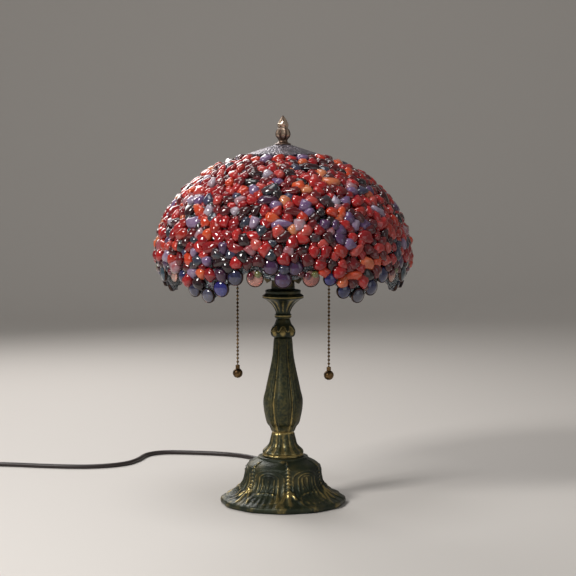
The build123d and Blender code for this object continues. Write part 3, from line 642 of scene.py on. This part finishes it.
def stone_finish(name, *stops):
    """Polished stone: each pebble's colour comes from the stops, banded and clouded, under a clear gloss."""
    finish = Finish(name, coat_weight=0.45, coat_roughness=0.04, ior=1.5)
    own = finish.attribute("own")
    cloud = finish.noise(130.0, 4.0)
    bands = finish.noise(420.0, 5.0)
    tone = own + (cloud - 0.5) * 0.45
    streak = bands.between(0.58, 0.75) * 0.22
    colour = finish.ramp(tone, *stops)
    pale = finish.blend(streak, colour, finish.blend(0.5, colour, (0.75, 0.42, 0.34)))
    pits = finish.cells(900.0).between(0.0, 0.12)
    finish.set({"Base Color": finish.blend((1 - pits) * 0.6, pale, (0.02, 0.01, 0.01))})
    finish.set({"Roughness": bands * 0.12 + 0.08})
    return finish.bump(bands + pits * 0.5, 0.00012)


STONES = {
    "stones_crimson": [(0.0, (0.030, 0.001, 0.003)), (0.3, (0.13, 0.002, 0.005)), (0.6, (0.27, 0.004, 0.007)),
                       (0.85, (0.37, 0.012, 0.012)), (1.0, (0.40, 0.055, 0.045))],
    "stones_orange": [(0.0, (0.22, 0.008, 0.006)), (0.35, (0.40, 0.020, 0.007)), (0.7, (0.52, 0.055, 0.012)),
                      (1.0, (0.48, 0.16, 0.07))],
    "stones_violet": [(0.0, (0.04, 0.010, 0.03)), (0.25, (0.10, 0.05, 0.14)), (0.5, (0.20, 0.13, 0.23)),
                      (0.75, (0.34, 0.29, 0.34)), (1.0, (0.28, 0.05, 0.06))],
    "stones_dark": [(0.0, (0.005, 0.006, 0.008)), (0.35, (0.030, 0.003, 0.006)), (0.6, (0.08, 0.003, 0.006)),
                    (0.8, (0.020, 0.028, 0.036)), (1.0, (0.04, 0.035, 0.08))],
}
stone_seats = []
for node, stops in STONES.items():
    seats = shaken([seat(points) for points in separate_solids(node)])
    stone_seats += seats
    pile = many(node + "_tumbled", seats, pebbles([half for middle, basis, half in seats]))
    per_piece(pile, "own", chance.uniform(0, 1, len(seats)))
    pile.data.materials.append(stone_finish(node + "_polish", *stops).material)
    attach(pile, "shade")
    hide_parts(node)

# Smaller pebbles fill the gaps between the large ones, down to the edge of the web and clear of the border.
def on_web(angle, height):
    """Points of the web's face and their outward directions: an ellipse, and a slight taper below it."""
    above = np.clip(height - WAIST, 0, None)
    below = np.clip(WAIST - height, 0, None)
    radius = WEB_RADIUS * np.sqrt(1 - (above / WEB_HEIGHT) ** 2) - 2.8 * below**2
    ring = np.sin(angle)[:, None] * ACROSS + np.cos(angle)[:, None] * FRONT
    rise = (above / WEB_HEIGHT) / WEB_HEIGHT / np.maximum(radius / WEB_RADIUS, 0.05) * WEB_RADIUS
    outward = ring + rise[:, None] * UP
    return radius[:, None] * ring + height[:, None] * UP, outward / np.linalg.norm(outward, axis=1)[:, None]


def clearance(spots, seats):
    """How far each spot is from the nearest seated piece, each piece taken as an ellipse in its own plane."""
    middles, bases, halves = (np.array([entry[part] for entry in seats]) for part in range(3))
    flat = np.einsum("smk,mak->sma", spots[:, None, :] - middles[None], bases)
    reach = np.sqrt(((flat[..., :2] / halves[None, :, :2]) ** 2).sum(-1) + (flat[..., 2] / 0.012) ** 4)
    return ((reach - 1) * halves[None, :, 1]).min(1)


def scallop(angle, notch, short_point):
    """The web's lower edge: it climbs from each long point to a notch, then dips to a short point."""
    from_point = np.abs(np.degrees(angle) % 72 - 36)
    heights = [0.258, 0.262, notch, short_point + 0.001, short_point]
    edge = np.interp(from_point, [0, 2.5, 19.6, 33, 36], heights)
    return from_point, edge


WAIST = 0.300
WEB_RADIUS = 0.146
WEB_HEIGHT = 0.119
tries = 14000
filler_angle = chance.uniform(-np.pi, np.pi, tries)
filler_rise = np.sqrt(chance.uniform(0, 1, tries))
filler_height = WAIST - 0.038 + 0.155 * filler_rise * chance.uniform(0.2, 1.0, tries) ** 0.6
from_point, web_edge = scallop(filler_angle, 0.291, 0.283)
spots, outward = on_web(filler_angle, filler_height)
border_seats = [seat(points) for node in ("border_gems", "border_discs") for points in separate_solids(node)]
room = np.minimum(clearance(spots + 0.003 * outward, stone_seats),
                  clearance(spots + 0.001 * outward, border_seats))
good = (filler_height > web_edge + 0.002) & (filler_height < 0.408) & (room > 0.0012)
spots, outward, room = spots[good], outward[good], room[good]
filler_half = np.clip(room * 1.5 + 0.0018, 0.0034, 0.0070)
kept = []
for number in np.argsort(-room):
    near = np.linalg.norm(spots[kept] - spots[number], axis=1) if kept else np.ones(1)
    if (near > 0.88 * (filler_half[kept] + filler_half[number] if kept else 0)).all():
        kept.append(number)
filler_seats = []
for number in kept:
    along = np.cross(outward[number], chance.normal(0, 1, 3))
    along /= np.linalg.norm(along)
    basis = np.stack([along, np.cross(outward[number], along), outward[number]])
    half = filler_half[number] * np.array([1.1, 0.78, 0.62]) + np.array([0, 0, 0.0012])
    filler_seats.append((spots[number] + half[2] * 0.8 * outward[number], basis, half))
lots = chance.choice(4, len(filler_seats), p=[0.56, 0.12, 0.10, 0.22])
# Low in the short points, under the bulge, every filler is made a dark stone: painted shade where the bulge
# shades the web.
painted_shade_band = (from_point[good] > 21) & (spots[:, 2] < 0.299)
lots[painted_shade_band[kept]] = list(STONES).index("stones_dark")
for lot, node in enumerate(STONES):
    seats = [entry for entry, which in zip(filler_seats, lots) if which == lot]
    pile = many(node + "_small", seats, pebbles([half for middle, basis, half in seats], rows=6, columns=9))
    per_piece(pile, "own", chance.uniform(0, 1, len(seats)))
    pile.data.materials.append(bpy.data.materials[node + "_polish"])
    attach(pile, "shade")

# Each stone's bezel: a thin lumpy tube of solder on an oval a little outside the stone, low on its side.
solder = Finish("bright_solder", metallic=1.0)
solder_tones = [(0.35, (0.09, 0.09, 0.10)), (0.55, (0.36, 0.37, 0.39)), (0.72, (0.66, 0.67, 0.70))]
solder.set({"Base Color": solder.ramp(solder.noise(160.0), *solder_tones)})
solder.set({"Roughness": solder.noise(380.0) * 0.25 + 0.14})
solder.bump(solder.noise(700.0), 0.0003)


def bezels(halves, wire, low, columns=12, rows=4):
    """A closed tube: a circle of the wire's radius carried round each oval."""
    halves = np.array(halves)
    around = np.linspace(0, 2 * np.pi, columns, endpoint=False)[None, None, :]
    tube = np.linspace(0, 2 * np.pi, rows, endpoint=False)[None, :, None]
    long_half, cross_half, high = (halves[:, axis][:, None, None] for axis in range(3))
    reach = wire * np.cos(tube)
    x = (long_half * 1.02 + reach) * np.cos(around)
    y = (cross_half * 1.08 + reach) * np.sin(around)
    z = -high * low + wire * 1.3 * np.sin(tube) + 0 * around
    return np.stack(np.broadcast_arrays(x, y, z), -1)


stone_halves = [half for middle, basis, half in stone_seats]
stone_bezels = many("stone_bezels", stone_seats, bezels(stone_halves, 0.0008, 0.35), closed_rows=True)
stone_bezels.data.materials.append(solder.material)
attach(stone_bezels, "shade")

# ---- Glass chips --------------------------------------------------------------------------------
# Broken chips of clear, grey, teal and smoky glass fill the gaps, set on the web at odd angles.
chip_tries = 5200
chip_angle = chance.uniform(-np.pi, np.pi, chip_tries)
chip_height = WAIST - 0.040 + 0.150 * chance.uniform(0, 1, chip_tries) ** 1.3
chip_edge_height = scallop(chip_angle, 0.294, 0.285)[1]
spots, outward = on_web(chip_angle, chip_height)
inside = (chip_height > chip_edge_height) & (clearance(spots + 0.003 * outward, stone_seats) > -0.0015)
spots = (spots + chance.uniform(0.0005, 0.0035, (chip_tries, 1)) * outward)[inside][:2800]


def chips_shape(count):
    """An octahedron pulled out of true: a ring of four corners between two blunt ends."""
    up = np.linspace(-1, 1, 4)[None, :, None]
    around = np.linspace(0, 2 * np.pi, 5, endpoint=False)[None, None, :] + chance.uniform(0, 3, (count, 1, 1))
    wide = (1 - 0.72 * np.abs(up)) * chance.uniform(0.6, 1.2, (count, 1, 5))
    size = chance.uniform(0.0011, 0.0025, (count, 1, 1))
    shape = np.stack(np.broadcast_arrays(wide * np.cos(around), wide * np.sin(around), 0.8 * up), -1)
    return shape * size[..., None]


turn = np.linalg.qr(chance.normal(0, 1, (len(spots), 3, 3)))[0]
chip_seats = [(spot, basis, None) for spot, basis in zip(spots, turn)]
chip_pile = many("glass_chips", chip_seats, chips_shape(len(spots)))
chip_pile.data.polygons.foreach_set("use_smooth", [False] * len(chip_pile.data.polygons))
per_piece(chip_pile, "own", chance.uniform(0, 1, len(spots)))
chip_glass = Finish("chip_glass", coat_weight=0.5, coat_roughness=0.03, metallic=0.25)
chip_glass.set({"Base Color": chip_glass.ramp(chip_glass.attribute("own"), (0.0, (0.05, 0.06, 0.07)),
                (0.3, (0.20, 0.26, 0.29)), (0.55, (0.50, 0.52, 0.55)), (0.75, (0.10, 0.20, 0.23)),
                (0.9, (0.40, 0.33, 0.44)))})
chip_glass.set({"Roughness": chip_glass.noise(500.0) * 0.15 + 0.05})
chip_pile.data.materials.append(chip_glass.material)
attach(chip_pile, "shade")


# ---- Border glass -------------------------------------------------------------------------------
# Round cabochons hang along the scalloped edge: deep blue down both sides of each long point, clear glass at
# its tip, painted dark grey for the shade seen through it, and smoky, grey-blue and violet in the short
# points.
# Thin pink discs fill the notches.
def lens(halves, rows, columns, flat=0.25):
    """A domed disc: a short wall, then a dome whose height falls off as a circle's does."""
    radius = np.array(halves)[:, :2].mean(1)[:, None, None]
    high = np.array(halves)[:, 2][:, None, None]
    rise = np.linspace(0, np.pi / 2 * 0.97, rows - 2)
    out = np.concatenate([[0.90, 1.0], np.cos(rise)])[None, :, None]
    tall = np.concatenate([[-1.0, -0.8], -0.8 * flat + (1 + 0.8 * flat) * np.sin(rise)])[None, :, None]
    around = np.linspace(0, 2 * np.pi, columns, endpoint=False)[None, None, :]
    stack = (radius * out * np.cos(around), radius * out * np.sin(around), high * tall + 0 * around)
    return np.stack(np.broadcast_arrays(*stack), -1)


def rims(halves, wire, columns=28, rows=6):
    """A closed foil band round a disc: an upright oval section carried round the edge."""
    radius = np.array(halves)[:, :2].mean(1)[:, None, None]
    high = np.array(halves)[:, 2][:, None, None]
    around = np.linspace(0, 2 * np.pi, columns, endpoint=False)[None, None, :]
    tube = np.linspace(0, 2 * np.pi, rows, endpoint=False)[None, :, None]
    reach = radius * 1.0 + wire * np.cos(tube)
    stack = (reach * np.cos(around), reach * np.sin(around), high * (0.62 * np.sin(tube) - 0.35) + 0 * around)
    return np.stack(np.broadcast_arrays(*stack), -1)


gem_seats = [seat(points) for points in separate_solids("border_gems")]
gem_halves = [half for middle, basis, half in gem_seats]
gems = many("border_cabochons", gem_seats, lens(gem_halves, 8, 24))
gem_middles = np.array([middle for middle, basis, half in gem_seats])
gem_angle = np.degrees(np.arctan2(gem_middles @ ACROSS, gem_middles @ FRONT))
from_long = (gem_angle - 36 + 36) % 72 - 36
pick = chance.integers(0, 3, len(gem_seats))
deep_blue = np.array([(0.006, 0.008, 0.06, 1), (0.010, 0.010, 0.13, 1), (0.012, 0.012, 0.04, 1)])[pick]
smoky = np.array([(0.022, 0.016, 0.018, 1), (0.02, 0.045, 0.06, 1), (0.045, 0.012, 0.055, 1)])[pick]
# The clear gems are painted dark grey: painted shade, the unlit inside of the shade seen through clear glass.
clear = np.array([(0.10, 0.10, 0.12, 1), (0.06, 0.06, 0.09, 1), (0.13, 0.13, 0.14, 1)])[pick]
is_tip = np.abs(from_long) < 3
is_short = np.abs(from_long) > 24
gem_colour = np.where(is_tip[:, None], clear, np.where(is_short[:, None], smoky, deep_blue))
per_piece(gems, "glass_colour", gem_colour)
gem_glass = Finish("gem_glass", coat_weight=1.0, coat_roughness=0.02, ior=1.5)
inner = gem_glass.noise(260.0, 4.0)
tint = gem_glass.attribute("glass_colour", output="Color")
gem_glass.set({"Base Color": gem_glass.blend(inner.between(0.5, 0.75) * 0.3, tint, (0.10, 0.12, 0.30))})
gem_glass.set({"Roughness": inner * 0.08 + 0.03})
gems.data.materials.append(gem_glass.material)
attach(gems, "shade")
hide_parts("border_gems")

dark_foil = antique("dark_foil", (0.012, 0.009, 0.009), (0.10, 0.06, 0.05), 0.35)
gem_rims = many("cabochon_rims", gem_seats, rims(gem_halves, 0.0007), closed_rows=True)
gem_rims.data.materials.append(dark_foil.material)
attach(gem_rims, "shade")

disc_seats = [seat(points) for points in separate_solids("border_discs")]
disc_halves = [half for middle, basis, half in disc_seats]
discs = many("pink_discs", disc_seats, lens(disc_halves, 6, 28))
pink_glass = Finish("pink_glass", roughness=0.12, transmission_weight=0.7, ior=1.3, coat_weight=0.6)
pink_tones = [(0.35, (0.80, 0.34, 0.30)), (0.65, (0.92, 0.62, 0.52))]
pink_glass.set({"Base Color": pink_glass.ramp(pink_glass.noise(70.0), *pink_tones)})
discs.data.materials.append(pink_glass.material)
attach(discs, "shade")
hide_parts("border_discs")
small_seats = []
for middle, basis, half in disc_seats:
    for across, rise in ((-0.0042, 0.0028), (0.0042, 0.0050)):
        side = np.cross(UP, basis[2])
        place = middle + side / np.linalg.norm(side) * across + UP * rise + basis[2] * 0.0030
        small_seats.append((place, basis, np.array([0.0042, 0.0042, 0.0026])))
small_gems = many("disc_gems", small_seats, lens([half for middle, basis, half in small_seats], 7, 18))
per_piece(small_gems, "glass_colour", [(0.10, 0.006, 0.012, 1), (0.11, 0.11, 0.03, 1)] * len(disc_seats))
small_gems.data.materials.append(gem_glass.material)
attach(small_gems, "shade")
disc_rims = many("disc_rims", disc_seats, rims(disc_halves, 0.0006), closed_rows=True)
disc_rims.data.materials.append(dark_foil.material)
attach(disc_rims, "shade")


# ---- Top ring, vent cap and finial --------------------------------------------------------------
# A spun brass cap, pierced near its middle, is soldered over the shade's top ring to let the heat out.
# The cast finial screws down on it: a lobed lotus bulb under a leafy bud, in pinkish antique brass.
pewter = Finish("pewter_cap", metallic=0.85)
hammer = pewter.cells(330.0)
tarnish = pewter.noise(60.0, 4.0)
pewter_tones = [(0.3, (0.03, 0.027, 0.035)), (0.6, (0.16, 0.145, 0.18)), (0.85, (0.32, 0.28, 0.31))]
pewter.set({"Base Color": pewter.ramp(tarnish + hammer * 0.25, *pewter_tones)})
pewter.set({"Roughness": tarnish * 0.3 + 0.22})
pewter.bump(hammer, 0.0012)
finish_node(pewter, "vent_cap", "top_ring")

finial_outside = through([(0.0094, 0.43408), (0.0094, 0.4352), (0.0062, 0.4368), (0.0055, 0.4395),
                          (0.0086, 0.4436), (0.0092, 0.4476), (0.0074, 0.4520), (0.0058, 0.4541),
                          (0.0070, 0.4587), (0.0044, 0.4640), (0.0016, 0.4674), (0.0003, 0.4688)], 110)
finial_inside = np.array([(0.0003, 0.447), (0.00305, 0.447), (0.00305, 0.43408)])


def finial_relief(angle, height):
    """Eight fat lobes on the bulb, two rows of pointed leaves on the bud, and a bead on the flange."""
    lobes = np.abs(np.cos(angle * 4)) * within(height, 0.4415, 0.4525, 0.0008)
    leaves = np.abs(np.cos(angle * 3 + (height > 0.459) * np.pi / 2)) * within(height, 0.4545, 0.4665, 0.0008)
    tips = ridge(height - 0.4595 - 0.0016 * np.cos(angle * 6), 0.0007) * 0.7
    return 0.0011 * (lobes - 0.4 * within(height, 0.4415, 0.4525, 0.0008) + 0.8 * leaves + tips * 0.6)


bud = casting("finial_bud", finial_outside, finial_inside, finial_relief, 128, body="finial")
finial_brass = Finish("finial_brass", metallic=1.0)
rubbed = (finial_brass.attribute("wear") + (finial_brass.noise(200.0) - 0.5) * 0.3).between(0.42, 0.8)
finial_brass.set({"Base Color": finial_brass.blend(rubbed, (0.10, 0.06, 0.045), (0.72, 0.55, 0.42))})
finial_brass.set({"Roughness": 0.42 - rubbed * 0.2})
bud.data.materials.append(finial_brass.material)
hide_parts("finial")
